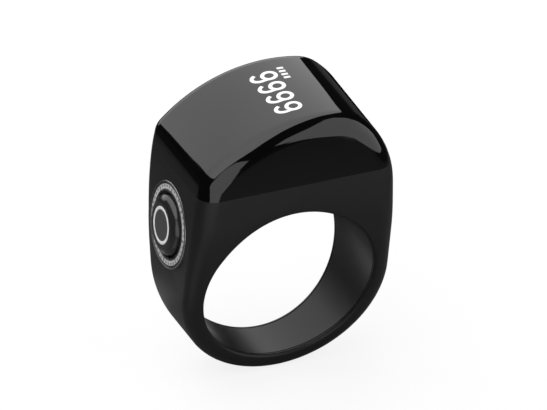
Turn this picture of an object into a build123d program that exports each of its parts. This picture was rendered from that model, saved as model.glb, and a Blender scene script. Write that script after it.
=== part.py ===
from build123d import *
import os
from math import asin, cos, sin, sqrt

# Lengths are in millimetres. The origin is the centre of the finger bore. +X points away from the
# button, +Y runs along the finger and +Z rises to the display.

# Finger bore and band
bore_diameter = 20.0
band_thickness = 2.1
bore_lip_radius = 0.35

# Outline of the case seen along the finger, with heights from the top of the bore
low_flank_drop = 7.6
low_flank_radius = 60.0
high_flank_rise = 1.2
high_flank_radius = 11.5
arch_radius = 18.7
arch_shift = 2.4
crown_rise = 11.25
high_shoulder_radius = 4.5
low_shoulder_radius = 2.2
parting_rise = 3.6

# Depth of the case along the finger
crown_depth = 16.0
band_depth = 5.9
taper_drop = 2.5
taper_blend_radius = 20.0
edge_radius = 1.7

# Walls and room inside the case
button_wall = 2.5
side_wall = 1.9
end_wall = 1.4
lens_wall = 1.2
floor_thickness = 1.4
bay_drop = 1.5
bay_width = 3.8
room_corner_radius = 1.0
gasket_width = 0.6
gasket_thickness = 0.12

# Stack between the floor of the room and the lens, from the bottom up
tape_thickness = 0.1
cell_thickness = 2.2
board_gap = 0.4
board_thickness = 0.6
part_headroom = 1.1
carrier_thickness = 0.4
foam_thickness = 0.2
rear_glass_thickness = 0.5
front_glass_thickness = 0.5
polariser_thickness = 0.15
bond_thickness = 0.1

# Posts and screws that clamp the board and the carrier
post_pitch = 10.0
post_edge = 1.3
post_radius = 0.95
column_radius = 1.15
screw_radius = 0.5
screw_depth = 1.9
screw_head_radius = 0.72
screw_head_height = 0.45
screw_head_sink = 0.1
screw_socket_radius = 0.3
screw_socket_depth = 0.25

# Display panel
panel_width = 11.0
panel_end_gap = 0.6
ledge_width = 3.0
polariser_margin = 0.3
foam_width = 1.0
driver_width = 1.2
driver_depth = 8.0
driver_height = 0.3
driver_gap = 0.4

# Flexible circuits
flex_thickness = 0.12
flex_bend_radius = 0.3
tail_width = 1.8
display_flex_width = 5.0
display_flex_bond = 0.9
display_flex_reach = 0.6
flex_wall_gap = 0.5
solder_pad_length = 1.0

# Main board and its parts
board_edge_gap = 0.35
board_corner_radius = 0.8
connector_length = 1.6
connector_width = 5.8
connector_height = 1.0
connector_mouth_depth = 1.2
processor_size = 4.0
processor_height = 0.85
charger_size = 2.0
charger_height = 0.75
crystal_length = 2.0
crystal_width = 1.6
crystal_height = 0.5
antenna_length = 3.2
antenna_width = 1.6
antenna_height = 1.0
chip_length = 1.0
chip_width = 0.5
capacitor_height = 0.5
resistor_height = 0.35
chip_pitch = 1.0
capacitor_count = 6
resistor_count = 5
part_gap = 0.6

# Battery
cell_end_gap = 0.5
cell_edge_radius = 0.5
battery_board_gap = 0.25
battery_board_thickness = 0.6
battery_board_drop = 0.3
battery_board_margin = 0.8
tab_width = 1.0
tab_thickness = 0.1
tab_pitch = 2.0
lead_radius = 0.18
lead_inset = 0.5

# Charging contacts and magnets in the floor
contact_pitch = 4.0
contact_radius = 0.75
contact_sink = 0.05
contact_flange_radius = 1.0
contact_flange_thickness = 0.12
trench_depth = 0.3
trench_margin = 0.2
magnet_radius = 1.5
magnet_thickness = 0.8
magnet_pitch = 6.4
magnet_tail_gap = 0.3
charge_tail_gap = 0.3

# Button, bezel and switch, with depths from the face of the left wall
button_drop = 2.8
bezel_sink = 0.1
bezel_thickness = 0.55
bezel_width = 1.03
bezel_chamfer = 0.1
cap_proud = 1.07
cap_base_radius = 3.6
cap_cone_run = 0.6
cap_edge_radius = 0.2
cap_clearance = 0.12
flange_overlap = 0.43
flange_thickness = 0.45
flange_gap = 0.05
press_travel = 0.2
travel_spare = 0.06
inlay_inner_radius = 1.65
inlay_outer_radius = 2.2
inlay_depth = 0.3
seal_section_radius = 0.15
nub_radius = 0.8
nub_length = 0.15
nub_gap = 0.02
plunger_radius = 0.75
plunger_height = 0.28
plunger_skirt_radius = 0.95
plunger_skirt_thickness = 0.1
switch_width = 3.0
switch_height = 2.6
switch_thickness = 0.65
switch_cover_thickness = 0.1
dome_radius = 1.1
dome_thickness = 0.06
well_radius = 2.25
switch_tail_shift = -1.2
switch_flex_margin = 0.15
slot_margin = 0.15

# Vibration motor in the high side's bay
motor_end_gap = 0.8
can_radius = 1.6
can_length = 5.0
can_wall = 0.2
can_front_thickness = 0.3
boot_wall = 0.25
boot_length = 3.8
motor_cap_thickness = 0.5
shaft_radius = 0.35
shaft_reach = 3.8
shaft_rear_gap = 0.15
bushing_radius = 0.6
bushing_length = 0.8
magnet_core_radius = 0.85
magnet_core_length = 2.6
coil_radius = 1.3
coil_wall = 0.25
coil_length = 3.2
coil_rear_thickness = 0.3
weight_radius = 1.5
weight_hub_radius = 0.75
weight_length = 3.0
weight_gap = 0.5
motor_lead_reach = 0.5
motor_lead_pitch = 1.0

# Clearances
running_clearance = 0.02
seat_clearance = 0.03
loose_clearance = 0.1
overrun = 1.0

# Places that follow from the sizes above
bore_radius = bore_diameter / 2
wall_x = bore_radius + band_thickness
low_flank_start = bore_radius - low_flank_drop
low_flank_centre = Vector(low_flank_radius - wall_x, low_flank_start)
high_flank_start = bore_radius + high_flank_rise
high_flank_centre = Vector(wall_x - high_flank_radius, high_flank_start)
arch_centre = Vector(arch_shift, bore_radius + crown_rise - arch_radius)
parting_height = bore_radius + parting_rise
half_crown = crown_depth / 2
half_band = band_depth / 2
taper_top = bore_radius - taper_drop
room_left = button_wall - wall_x
room_right = wall_x - side_wall
room_x = (room_left + room_right) / 2
room_width = room_right - room_left
room_half_depth = half_crown - end_wall
floor_left = room_left + bay_width
floor_right = room_right - bay_width
low_bay_x = room_left + bay_width / 2
high_bay_x = room_right - bay_width / 2
room_floor = bore_radius + floor_thickness
bay_floor = room_floor - bay_drop
tape_top = room_floor + tape_thickness
cell_top = tape_top + cell_thickness
board_base = cell_top + board_gap
board_top = board_base + board_thickness
plate_base = board_top + part_headroom
plate_top = plate_base + carrier_thickness
glass_base = plate_top + foam_thickness
ledge_top = glass_base + rear_glass_thickness
front_top = ledge_top + front_glass_thickness
polariser_top = front_top + polariser_thickness
window_height = polariser_top + bond_thickness
post_y = room_half_depth - post_edge
button_height = bore_radius - button_drop


def write(piece, name):
    """Label a finished piece and write it as its own STEP file."""
    piece.part.label = name
    export_step(piece.part, f"parts/{name}.step")


def circles_meet(first, first_radius, second, second_radius):
    """The higher of the two points where two circles of the outline cross."""
    gap = second - first
    along = (first_radius**2 - second_radius**2 + gap.length**2) / (2 * gap.length)
    off = sqrt(first_radius**2 - along**2)
    foot = first + gap.normalized() * along
    across = Vector(-gap.Y, gap.X).normalized() * off
    return max(foot + across, foot - across, key=lambda point: point.Y)


def hollow_left(height):
    """The lens's inner face on the button side at a height."""
    under_arch = arch_shift - sqrt((arch_radius - lens_wall) ** 2 - (height - arch_centre.Y) ** 2)
    inner_radius = low_flank_radius - lens_wall
    in_flank = low_flank_centre.X - sqrt(inner_radius**2 - (height - low_flank_start) ** 2)
    return max(under_arch, in_flank, room_left)


def hollow_right(height):
    """The lens's inner face on the high side at a height."""
    inner_radius = high_flank_radius - lens_wall
    in_flank = high_flank_centre.X + sqrt(inner_radius**2 - (height - high_flank_start) ** 2)
    return min(in_flank, room_right)


def button_plane(depth):
    """A plane that faces out of the leaning left wall at the button, at a depth in that wall."""
    lean = asin((button_height - low_flank_start) / low_flank_radius)
    outward = Vector(-cos(lean), 0, sin(lean))
    centre = Vector(low_flank_centre.X, 0, low_flank_centre.Y)
    return Plane(centre + outward * (low_flank_radius - depth), x_dir=(0, -1, 0), z_dir=outward)


def motor_plane(along):
    """A plane square to the motor's axis, facing +Y, at a place along the finger."""
    height = bay_floor + boot_wall + can_radius
    return Plane(origin=(high_bay_x, along, height), x_dir=(-1, 0, 0), z_dir=(0, 1, 0))


def sweep_strip(points, width, shift):
    """Sweep a flat strip along points given in X and Z, at a shift along the finger."""
    with BuildLine(Plane.XZ.offset(-shift)) as route:
        FilletPolyline(*points, radius=flex_bend_radius)
    with BuildSketch(Plane(origin=route.line @ 0, x_dir=(0, 1, 0), z_dir=route.line % 0)) as section:
        Rectangle(width, flex_thickness)
    sweep(section.sketch, path=route.line)


os.makedirs("parts", exist_ok=True)

# The case outline: a round band, straight walls, leaning flanks and an arch that is higher on one side
high_corner = circles_meet(arch_centre, arch_radius, high_flank_centre, high_flank_radius)
low_corner = circles_meet(arch_centre, arch_radius, low_flank_centre, low_flank_radius)
with BuildSketch(Plane.XZ) as outline:
    with BuildLine():
        ThreePointArc((-wall_x, 0), (0, -wall_x), (wall_x, 0))
        Line((wall_x, 0), (wall_x, high_flank_start))
        TangentArc((wall_x, high_flank_start), high_corner, tangent=(0, 1))
        ThreePointArc(high_corner, arch_centre + Vector(0, arch_radius), low_corner)
        TangentArc((-wall_x, low_flank_start), low_corner, tangent=(0, 1))
        Line((-wall_x, low_flank_start), (-wall_x, 0))
    make_face()
    fillet(outline.vertices().sort_by_distance(high_corner)[0], high_shoulder_radius)
    fillet(outline.vertices().sort_by_distance(low_corner)[0], low_shoulder_radius)

# The depth: upright at the crown, tapering evenly down to the band
taper_share = (half_crown - half_band) / (taper_top + wall_x)
with BuildSketch(Plane.YZ) as depth_profile:
    with BuildLine():
        Polyline(
            (half_crown, bore_radius + crown_rise + overrun),
            (half_crown, taper_top),
            (half_band - taper_share * overrun, -wall_x - overrun),
            (taper_share * overrun - half_band, -wall_x - overrun),
            (-half_crown, taper_top),
            (-half_crown, bore_radius + crown_rise + overrun),
            close=True,
        )
    make_face()
    fillet(depth_profile.vertices().group_by(Axis.Y)[1], taper_blend_radius)

# The whole case as one rounded block, later parted into housing and lens
with BuildPart() as case_block:
    extrude(outline.sketch, amount=crown_depth, both=True)
    extrude(depth_profile.sketch, amount=wall_x + overrun, both=True, mode=Mode.INTERSECT)
    rims = case_block.edges() - case_block.edges().filter_by(Axis.X) - case_block.edges().filter_by(Axis.Y)
    fillet(rims, edge_radius)

# Radii of the button's parts and their depths in the left wall
cap_face_radius = cap_base_radius - cap_cone_run
bezel_opening_radius = cap_base_radius + cap_clearance
bezel_radius = bezel_opening_radius + bezel_width
flange_radius = bezel_opening_radius + flange_overlap
bezel_back = bezel_sink + bezel_thickness
flange_top = bezel_back + flange_gap
flange_back = flange_top + flange_thickness
pocket_floor = flange_back + press_travel + travel_spare
plunger_tip = flange_back + nub_length + nub_gap
switch_face = plunger_tip + plunger_height
switch_back = switch_face + switch_thickness
well_floor = switch_back + flex_thickness

# Places of the two tails of flexible circuit that rise to the board
trench_floor = room_floor - trench_depth
charge_flex_base = trench_floor + contact_flange_thickness
cell_left = floor_left + cell_end_gap
cell_right = floor_right - cell_end_gap
battery_board_face = cell_left - battery_board_gap
charge_tail_x = battery_board_face - battery_board_thickness - charge_tail_gap - flex_thickness / 2
charge_tail_shift = magnet_radius + magnet_tail_gap + tail_width / 2
post_places = GridLocations(post_pitch, 2 * post_y, 2, 2).locations

with BuildPart() as housing:
    add(case_block.part)
    split(bisect_by=Plane.XY.offset(parting_height), keep=Keep.BOTTOM)
    with BuildSketch(Plane.XZ):
        Circle(bore_radius)
    extrude(amount=crown_depth, both=True, mode=Mode.SUBTRACT)
    bore_faces = housing.faces().filter_by(GeomType.CYLINDER)
    bore_wall = bore_faces.filter_by(lambda face: abs(face.radius - bore_radius) < seat_clearance)
    fillet(bore_wall.edges() - bore_wall.edges().filter_by(Axis.Y), bore_lip_radius)
    # Room for the electronics, with a deep bay at each end
    with BuildSketch(Plane.XY.offset(room_floor)):
        with Locations((room_x, 0)):
            RectangleRounded(room_width, 2 * room_half_depth, room_corner_radius)
    extrude(amount=parting_rise, mode=Mode.SUBTRACT)
    with BuildSketch(Plane.XY.offset(bay_floor)):
        with Locations((low_bay_x, 0), (high_bay_x, 0)):
            RectangleRounded(bay_width, 2 * room_half_depth, room_corner_radius)
    extrude(amount=parting_rise, mode=Mode.SUBTRACT)
    # Step for the gasket round the mouth of the room
    with BuildSketch(Plane.XY.offset(parting_height)):
        with Locations((room_x, 0)):
            RectangleRounded(
                room_width + 2 * gasket_width,
                2 * (room_half_depth + gasket_width),
                room_corner_radius + gasket_width,
            )
    extrude(amount=-gasket_thickness, mode=Mode.SUBTRACT)
    # Posts with their screw holes
    with BuildSketch(Plane.XY.offset(room_floor - bay_drop)):
        with Locations(post_places):
            Circle(post_radius)
    extrude(amount=board_base - room_floor + bay_drop)
    with BuildSketch(Plane.XY.offset(board_base)):
        with Locations(post_places):
            Circle(screw_radius + running_clearance)
    extrude(amount=-screw_depth - loose_clearance, mode=Mode.SUBTRACT)
    # Trench for the charging circuit, contact holes and magnet pockets
    with BuildSketch(Plane.XY.offset(trench_floor)):
        Rectangle(
            2 * (contact_flange_radius + trench_margin),
            contact_pitch + 2 * (contact_flange_radius + trench_margin),
        )
        with Locations((floor_left - overrun, charge_tail_shift)):
            Rectangle(
                overrun - floor_left,
                tail_width + 2 * trench_margin,
                align=(Align.MIN, Align.CENTER),
            )
    extrude(amount=trench_depth, mode=Mode.SUBTRACT)
    with BuildSketch(Plane.XY.offset(trench_floor)):
        with GridLocations(contact_pitch, contact_pitch, 1, 2):
            Circle(contact_radius + seat_clearance)
    extrude(amount=-floor_thickness, mode=Mode.SUBTRACT)
    with BuildSketch(Plane.XY.offset(room_floor)):
        with GridLocations(magnet_pitch, magnet_pitch, 2, 1):
            Circle(magnet_radius + seat_clearance)
    extrude(amount=-magnet_thickness - seat_clearance, mode=Mode.SUBTRACT)
    # Button pocket, bezel seat, switch well and the slot for its circuit
    with BuildSketch(button_plane(-overrun)):
        Circle(bezel_radius + seat_clearance)
    extrude(amount=-overrun - bezel_back, mode=Mode.SUBTRACT)
    with BuildSketch(button_plane(bezel_back)):
        Circle(flange_radius + loose_clearance)
    extrude(amount=bezel_back - pocket_floor, mode=Mode.SUBTRACT)
    with BuildSketch(button_plane(pocket_floor)):
        Circle(well_radius)
    extrude(amount=pocket_floor - well_floor, mode=Mode.SUBTRACT)
    with BuildSketch(button_plane(well_floor)):
        with Locations((-switch_tail_shift, bay_floor - button_height + slot_margin)):
            Rectangle(tail_width + 2 * slot_margin, 2 * well_radius, align=(Align.CENTER, Align.MAX))
    extrude(amount=flex_thickness + 2 * slot_margin, mode=Mode.SUBTRACT)
write(housing, "housing")

with BuildPart() as crown_lens:
    add(case_block.part)
    split(bisect_by=Plane.XY.offset(parting_height), keep=Keep.TOP)
    with BuildSketch(Plane.XZ):
        add(outline.sketch_local)
        offset(amount=-lens_wall, mode=Mode.REPLACE)
        with Locations((room_x, window_height)):
            Rectangle(room_width, window_height, align=(Align.CENTER, Align.MAX), mode=Mode.INTERSECT)
    extrude(amount=room_half_depth, both=True, mode=Mode.SUBTRACT)
write(crown_lens, "crown_lens")

with BuildPart() as lens_gasket:
    with BuildSketch(Plane.XY.offset(parting_height - gasket_thickness)):
        with Locations((room_x, 0)):
            RectangleRounded(
                room_width + 2 * (gasket_width - seat_clearance),
                2 * (room_half_depth + gasket_width - seat_clearance),
                room_corner_radius + gasket_width - seat_clearance,
            )
            RectangleRounded(room_width, 2 * room_half_depth, room_corner_radius, mode=Mode.SUBTRACT)
    extrude(amount=gasket_thickness)
write(lens_gasket, "lens_gasket")

with BuildPart() as button_bezel:
    with BuildSketch(button_plane(bezel_back)):
        Circle(bezel_radius)
        Circle(bezel_opening_radius, mode=Mode.SUBTRACT)
    extrude(amount=bezel_thickness)
    chamfer(button_bezel.faces().sort_by(Axis.X)[0].edges(), bezel_chamfer)
write(button_bezel, "button_bezel")

# The cap is turned: a flange under the bezel, a groove for the seal and a cone up to the face
cap_face = bezel_sink - cap_proud
seal_depth = bezel_sink + bezel_thickness / 2
seal_ring_radius = bezel_opening_radius - running_clearance - seal_section_radius
turning_plane = Plane(button_plane(0).origin, x_dir=-button_plane(0).z_dir, z_dir=(0, -1, 0))
button_axis = Axis(turning_plane.origin, turning_plane.x_dir)
with BuildPart() as button_cap:
    with BuildSketch(turning_plane):
        with BuildLine():
            Polyline(
                (cap_face, 0),
                (cap_face, cap_face_radius),
                (bezel_sink, cap_base_radius),
                (flange_top, cap_base_radius),
                (flange_top, flange_radius),
                (flange_back, flange_radius),
                (flange_back, nub_radius),
                (flange_back + nub_length, nub_radius),
                (flange_back + nub_length, 0),
                close=True,
            )
        make_face()
        with Locations((cap_face, inlay_inner_radius)):
            Rectangle(
                inlay_depth,
                inlay_outer_radius - inlay_inner_radius,
                align=(Align.MIN, Align.MIN),
                mode=Mode.SUBTRACT,
            )
        with Locations((seal_depth, seal_ring_radius)):
            Circle(seal_section_radius + running_clearance, mode=Mode.SUBTRACT)
    revolve(axis=button_axis)
    face_rim = button_cap.edges().filter_by(GeomType.CIRCLE).group_by(Axis.X)[0].sort_by(SortBy.RADIUS)[-1]
    fillet(face_rim, cap_edge_radius)
write(button_cap, "button_cap")

with BuildPart() as button_inlay:
    with BuildSketch(button_plane(cap_face + inlay_depth)):
        Circle(inlay_outer_radius)
        Circle(inlay_inner_radius, mode=Mode.SUBTRACT)
    extrude(amount=inlay_depth)
write(button_inlay, "button_inlay")

with BuildPart() as button_seal:
    with BuildSketch(turning_plane):
        with Locations((seal_depth, seal_ring_radius)):
            Circle(seal_section_radius)
    revolve(axis=button_axis)
write(button_seal, "button_seal")

# The switch: an open base with a cover, a snap dome on its floor and a plunger held under the cover
with BuildPart() as switch_base:
    with BuildSketch(button_plane(switch_back)):
        Rectangle(switch_width, switch_height)
    extrude(amount=switch_thickness)
    with BuildSketch(button_plane(switch_face)):
        Circle(plunger_radius + loose_clearance)
    extrude(amount=-switch_cover_thickness, mode=Mode.SUBTRACT)
    with BuildSketch(button_plane(switch_face + switch_cover_thickness)):
        Circle(dome_radius + seat_clearance)
    extrude(amount=2 * switch_cover_thickness - switch_thickness, mode=Mode.SUBTRACT)
write(switch_base, "switch_base")

with BuildPart() as switch_plunger:
    with BuildSketch(button_plane(plunger_tip)):
        Circle(plunger_radius)
    extrude(amount=-plunger_height - switch_cover_thickness - seat_clearance)
    with BuildSketch(button_plane(switch_face + switch_cover_thickness + seat_clearance)):
        Circle(plunger_skirt_radius)
    extrude(amount=-plunger_skirt_thickness)
write(switch_plunger, "switch_plunger")

dome_floor = switch_back - switch_cover_thickness
with BuildPart() as switch_dome:
    with BuildSketch(button_plane(dome_floor)):
        Circle(dome_radius)
    extrude(amount=dome_thickness)
write(switch_dome, "switch_dome")

with BuildPart() as switch_flex:
    with BuildSketch(button_plane(well_floor)):
        Rectangle(switch_width + 2 * switch_flex_margin, switch_height + 2 * switch_flex_margin)
    extrude(amount=flex_thickness)
    tail_plane = button_plane(well_floor - flex_thickness / 2)
    tail_top = board_base - flex_thickness / 2
    tail_rise = tail_plane.y_dir * ((tail_top - tail_plane.origin.Z) / tail_plane.y_dir.Z)
    tail_x = (tail_plane.origin + tail_rise).X
    sweep_strip(
        [
            (tail_plane.origin.X, tail_plane.origin.Z),
            (tail_x, tail_top),
            (tail_x + solder_pad_length, tail_top),
        ],
        tail_width,
        switch_tail_shift,
    )
write(switch_flex, "switch_flex")

# The display's place: as far to the high side as its folded circuit allows
panel_depth = 2 * (room_half_depth - panel_end_gap)
flex_turn_x = hollow_right(ledge_top + flex_thickness) - flex_wall_gap - flex_thickness / 2
panel_right = flex_turn_x - display_flex_reach
panel_left = panel_right - panel_width
panel_x = (panel_left + panel_right) / 2
front_width = panel_width - ledge_width
front_x = panel_left + front_width / 2
with BuildPart() as main_board:
    board_left = hollow_left(board_top) + board_edge_gap
    board_right = hollow_right(board_top) - board_edge_gap
    with BuildSketch(Plane.XY.offset(board_base)):
        with Locations(((board_left + board_right) / 2, 0)):
            RectangleRounded(
                board_right - board_left, 2 * (room_half_depth - board_edge_gap), board_corner_radius
            )
        with Locations(post_places):
            Circle(screw_radius + loose_clearance, mode=Mode.SUBTRACT)
    extrude(amount=board_thickness)
write(main_board, "main_board")

with BuildPart() as display_carrier:
    plate_left = hollow_left(plate_top) + board_edge_gap
    with BuildSketch(Plane.XY.offset(plate_base)):
        with Locations(((plate_left + panel_right) / 2, 0)):
            RectangleRounded(
                panel_right - plate_left, 2 * (room_half_depth - board_edge_gap), board_corner_radius
            )
    extrude(amount=carrier_thickness)
    with BuildSketch(Plane.XY.offset(board_top)):
        with Locations(post_places):
            Circle(column_radius)
    extrude(amount=part_headroom)
    with Locations(Plane.XY.offset(plate_top)):
        with Locations(post_places):
            CounterBoreHole(
                screw_radius + loose_clearance,
                screw_head_radius + loose_clearance,
                screw_head_sink + screw_head_height,
            )
write(display_carrier, "display_carrier")

head_top = plate_top - screw_head_sink
with BuildPart() as carrier_screws:
    with BuildSketch(Plane.XY.offset(head_top)):
        with Locations(post_places):
            Circle(screw_head_radius)
    extrude(amount=-screw_head_height)
    with BuildSketch(Plane.XY.offset(head_top)):
        with Locations(post_places):
            Circle(screw_radius)
    extrude(amount=board_base - screw_depth - head_top)
    with BuildSketch(Plane.XY.offset(head_top)):
        with Locations(post_places):
            RegularPolygon(screw_socket_radius, 6)
    extrude(amount=-screw_socket_depth, mode=Mode.SUBTRACT)
write(carrier_screws, "carrier_screws")

# The display stands on foam on the carrier, glass on glass, and is bonded to the lens
with BuildPart() as display_foam:
    with BuildSketch(Plane.XY.offset(plate_top)):
        with Locations((panel_x, 0)):
            Rectangle(panel_width, panel_depth)
            Rectangle(panel_width - 2 * foam_width, panel_depth - 2 * foam_width, mode=Mode.SUBTRACT)
    extrude(amount=foam_thickness)
write(display_foam, "display_foam")

with BuildPart() as display_rear_glass:
    with BuildSketch(Plane.XY.offset(glass_base)):
        with Locations((panel_x, 0)):
            Rectangle(panel_width, panel_depth)
    extrude(amount=rear_glass_thickness)
write(display_rear_glass, "display_rear_glass")

with BuildPart() as display_front_glass:
    with BuildSketch(Plane.XY.offset(ledge_top)):
        with Locations((front_x, 0)):
            Rectangle(front_width, panel_depth)
    extrude(amount=front_glass_thickness)
write(display_front_glass, "display_front_glass")

with BuildPart() as display_polariser:
    with BuildSketch(Plane.XY.offset(front_top)):
        with Locations((front_x, 0)):
            Rectangle(front_width - 2 * polariser_margin, panel_depth - 2 * polariser_margin)
    extrude(amount=polariser_thickness)
write(display_polariser, "display_polariser")

with BuildPart() as display_bond:
    with BuildSketch(Plane.XY.offset(polariser_top)):
        with Locations((front_x, 0)):
            Rectangle(front_width - 2 * polariser_margin, panel_depth - 2 * polariser_margin)
    extrude(amount=bond_thickness)
write(display_bond, "display_bond")

with BuildPart() as display_driver:
    with BuildSketch(Plane.XY.offset(ledge_top)):
        with Locations((panel_left + front_width + driver_gap, 0)):
            Rectangle(driver_width, driver_depth, align=(Align.MIN, Align.CENTER))
    extrude(amount=driver_height)
write(display_driver, "display_driver")

# The display's circuit folds from the ledge down past the carrier into a connector on the board
connector_right = panel_right - display_flex_reach
mouth_height = board_top + connector_height / 2
with BuildPart() as display_flex:
    sweep_strip(
        [
            (panel_right - display_flex_bond, ledge_top + flex_thickness / 2),
            (flex_turn_x, ledge_top + flex_thickness / 2),
            (flex_turn_x, mouth_height),
            (connector_right - connector_mouth_depth, mouth_height),
        ],
        display_flex_width,
        0,
    )
write(display_flex, "display_flex")

with BuildPart() as display_connector:
    with BuildSketch(Plane.XY.offset(board_top)):
        with Locations((connector_right, 0)):
            Rectangle(connector_length, connector_width, align=(Align.MAX, Align.CENTER))
    extrude(amount=connector_height)
    with BuildSketch(Plane.YZ.offset(connector_right)):
        with Locations((0, mouth_height)):
            Rectangle(display_flex_width + 2 * seat_clearance, flex_thickness + 2 * seat_clearance)
    extrude(amount=-connector_mouth_depth - loose_clearance, mode=Mode.SUBTRACT)
write(display_connector, "display_connector")

# Chips on the board, laid out from under the low end of the arch towards the connector
antenna_left = hollow_left(board_top + antenna_height) + board_edge_gap
processor_x = antenna_left + antenna_width + part_gap + processor_size / 2
next_column = processor_x + processor_size / 2 + part_gap
with BuildPart() as processor_chip:
    with BuildSketch(Plane.XY.offset(board_top)):
        with Locations((processor_x, 0)):
            Rectangle(processor_size, processor_size)
    extrude(amount=processor_height)
write(processor_chip, "processor_chip")

with BuildPart() as charger_chip:
    with BuildSketch(Plane.XY.offset(board_top)):
        with Locations((next_column, processor_size / 2)):
            Rectangle(charger_size, charger_size, align=(Align.MIN, Align.MAX))
    extrude(amount=charger_height)
write(charger_chip, "charger_chip")

with BuildPart() as crystal:
    with BuildSketch(Plane.XY.offset(board_top)):
        with Locations((next_column, -processor_size / 2)):
            Rectangle(crystal_length, crystal_width, align=(Align.MIN, Align.MIN))
    extrude(amount=crystal_height)
write(crystal, "crystal")

with BuildPart() as antenna_chip:
    with BuildSketch(Plane.XY.offset(board_top)):
        with Locations((antenna_left, 0)):
            Rectangle(antenna_width, antenna_length, align=(Align.MIN, Align.CENTER))
    extrude(amount=antenna_height)
write(antenna_chip, "antenna_chip")

capacitor_x = next_column + charger_size + part_gap + chip_length / 2
resistor_x = capacitor_x + chip_length + part_gap
with BuildPart() as board_capacitors:
    with BuildSketch(Plane.XY.offset(board_top)):
        with Locations((capacitor_x, 0)):
            with GridLocations(chip_pitch, chip_pitch, 1, capacitor_count):
                Rectangle(chip_length, chip_width)
    extrude(amount=capacitor_height)
write(board_capacitors, "board_capacitors")

with BuildPart() as board_resistors:
    with BuildSketch(Plane.XY.offset(board_top)):
        with Locations((resistor_x, 0)):
            with GridLocations(chip_pitch, chip_pitch, 1, resistor_count):
                Rectangle(chip_length, chip_width)
    extrude(amount=resistor_height)
write(board_resistors, "board_resistors")

# The battery lies between the posts on tape, with its protection board on the end by the button
cell_half_width = post_y - post_radius - board_edge_gap
with BuildPart() as battery_tape:
    with BuildSketch(Plane.XY.offset(room_floor)):
        with Locations(((cell_left + cell_right) / 2, 0)):
            Rectangle(
                cell_right - cell_left - 2 * cell_edge_radius, 2 * (cell_half_width - cell_edge_radius)
            )
    extrude(amount=tape_thickness)
write(battery_tape, "battery_tape")

with BuildPart() as battery_cell:
    with BuildSketch(Plane.XY.offset(tape_top)):
        with Locations(((cell_left + cell_right) / 2, 0)):
            Rectangle(cell_right - cell_left, 2 * cell_half_width)
    extrude(amount=cell_thickness)
    fillet(battery_cell.edges(), cell_edge_radius)
write(battery_cell, "battery_cell")

battery_board_half = cell_half_width - battery_board_margin
with BuildPart() as battery_board:
    with BuildSketch(Plane.YZ.offset(battery_board_face)):
        with Locations((0, tape_top + cell_thickness / 2)):
            Rectangle(2 * battery_board_half, cell_thickness - 2 * battery_board_drop)
    extrude(amount=-battery_board_thickness)
write(battery_board, "battery_board")

with BuildPart() as battery_tabs:
    with BuildSketch(Plane.YZ.offset(cell_left)):
        with Locations((0, tape_top + cell_thickness / 2)):
            with GridLocations(tab_pitch, tab_pitch, 2, 1):
                Rectangle(tab_width, tab_thickness)
    extrude(amount=-battery_board_gap)
write(battery_tabs, "battery_tabs")

lead_x = battery_board_face - battery_board_thickness / 2
lead_y = battery_board_half - lead_inset
with BuildPart() as battery_leads:
    with BuildSketch(Plane.XY.offset(cell_top - battery_board_drop)):
        with Locations((lead_x, 0)):
            with GridLocations(lead_y, 2 * lead_y, 1, 2):
                Circle(lead_radius)
    extrude(amount=battery_board_drop + board_gap)
write(battery_leads, "battery_leads")

with BuildPart() as charge_contacts:
    with BuildSketch(Plane.XY.offset(bore_radius + contact_sink)):
        with GridLocations(contact_pitch, contact_pitch, 1, 2):
            Circle(contact_radius)
    extrude(amount=trench_floor - bore_radius - contact_sink)
    with BuildSketch(Plane.XY.offset(trench_floor)):
        with GridLocations(contact_pitch, contact_pitch, 1, 2):
            Circle(contact_flange_radius)
    extrude(amount=contact_flange_thickness)
write(charge_contacts, "charge_contacts")

with BuildPart() as charge_flex:
    with BuildSketch(Plane.XY.offset(charge_flex_base)):
        Rectangle(2 * contact_flange_radius, contact_pitch + 2 * contact_flange_radius)
    extrude(amount=flex_thickness)
    sweep_strip(
        [
            (0, charge_flex_base + flex_thickness / 2),
            (charge_tail_x, charge_flex_base + flex_thickness / 2),
            (charge_tail_x, board_base),
        ],
        tail_width,
        charge_tail_shift,
    )
write(charge_flex, "charge_flex")

with BuildPart() as charge_magnets:
    with BuildSketch(Plane.XY.offset(room_floor - seat_clearance)):
        with GridLocations(magnet_pitch, magnet_pitch, 2, 1):
            Circle(magnet_radius)
    extrude(amount=-magnet_thickness)
write(charge_magnets, "charge_magnets")

# The motor lies along the finger in a rubber boot, with its weight on the end of the shaft
can_rear = motor_end_gap - room_half_depth
can_front = can_rear + can_length
with BuildPart() as motor_boot:
    with BuildSketch(motor_plane(can_rear + motor_cap_thickness)):
        Rectangle(bay_width - 2 * seat_clearance, 2 * (can_radius + boot_wall))
        Circle(can_radius + running_clearance, mode=Mode.SUBTRACT)
    extrude(amount=boot_length)
write(motor_boot, "motor_boot")

with BuildPart() as motor_can:
    with BuildSketch(motor_plane(can_rear)):
        Circle(can_radius)
    extrude(amount=can_length)
    with BuildSketch(motor_plane(can_rear)):
        Circle(can_radius - can_wall)
    extrude(amount=can_length - can_front_thickness, mode=Mode.SUBTRACT)
    with BuildSketch(motor_plane(can_front)):
        Circle(bushing_radius + running_clearance)
    extrude(amount=-can_front_thickness, mode=Mode.SUBTRACT)
write(motor_can, "motor_can")

with BuildPart() as motor_bushing:
    with BuildSketch(motor_plane(can_front)):
        Circle(bushing_radius)
        Circle(shaft_radius + running_clearance, mode=Mode.SUBTRACT)
    extrude(amount=-bushing_length)
write(motor_bushing, "motor_bushing")

core_front = can_front - bushing_length
with BuildPart() as motor_magnet:
    with BuildSketch(motor_plane(core_front)):
        Circle(magnet_core_radius)
        Circle(shaft_radius + loose_clearance, mode=Mode.SUBTRACT)
    extrude(amount=-magnet_core_length)
write(motor_magnet, "motor_magnet")

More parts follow.
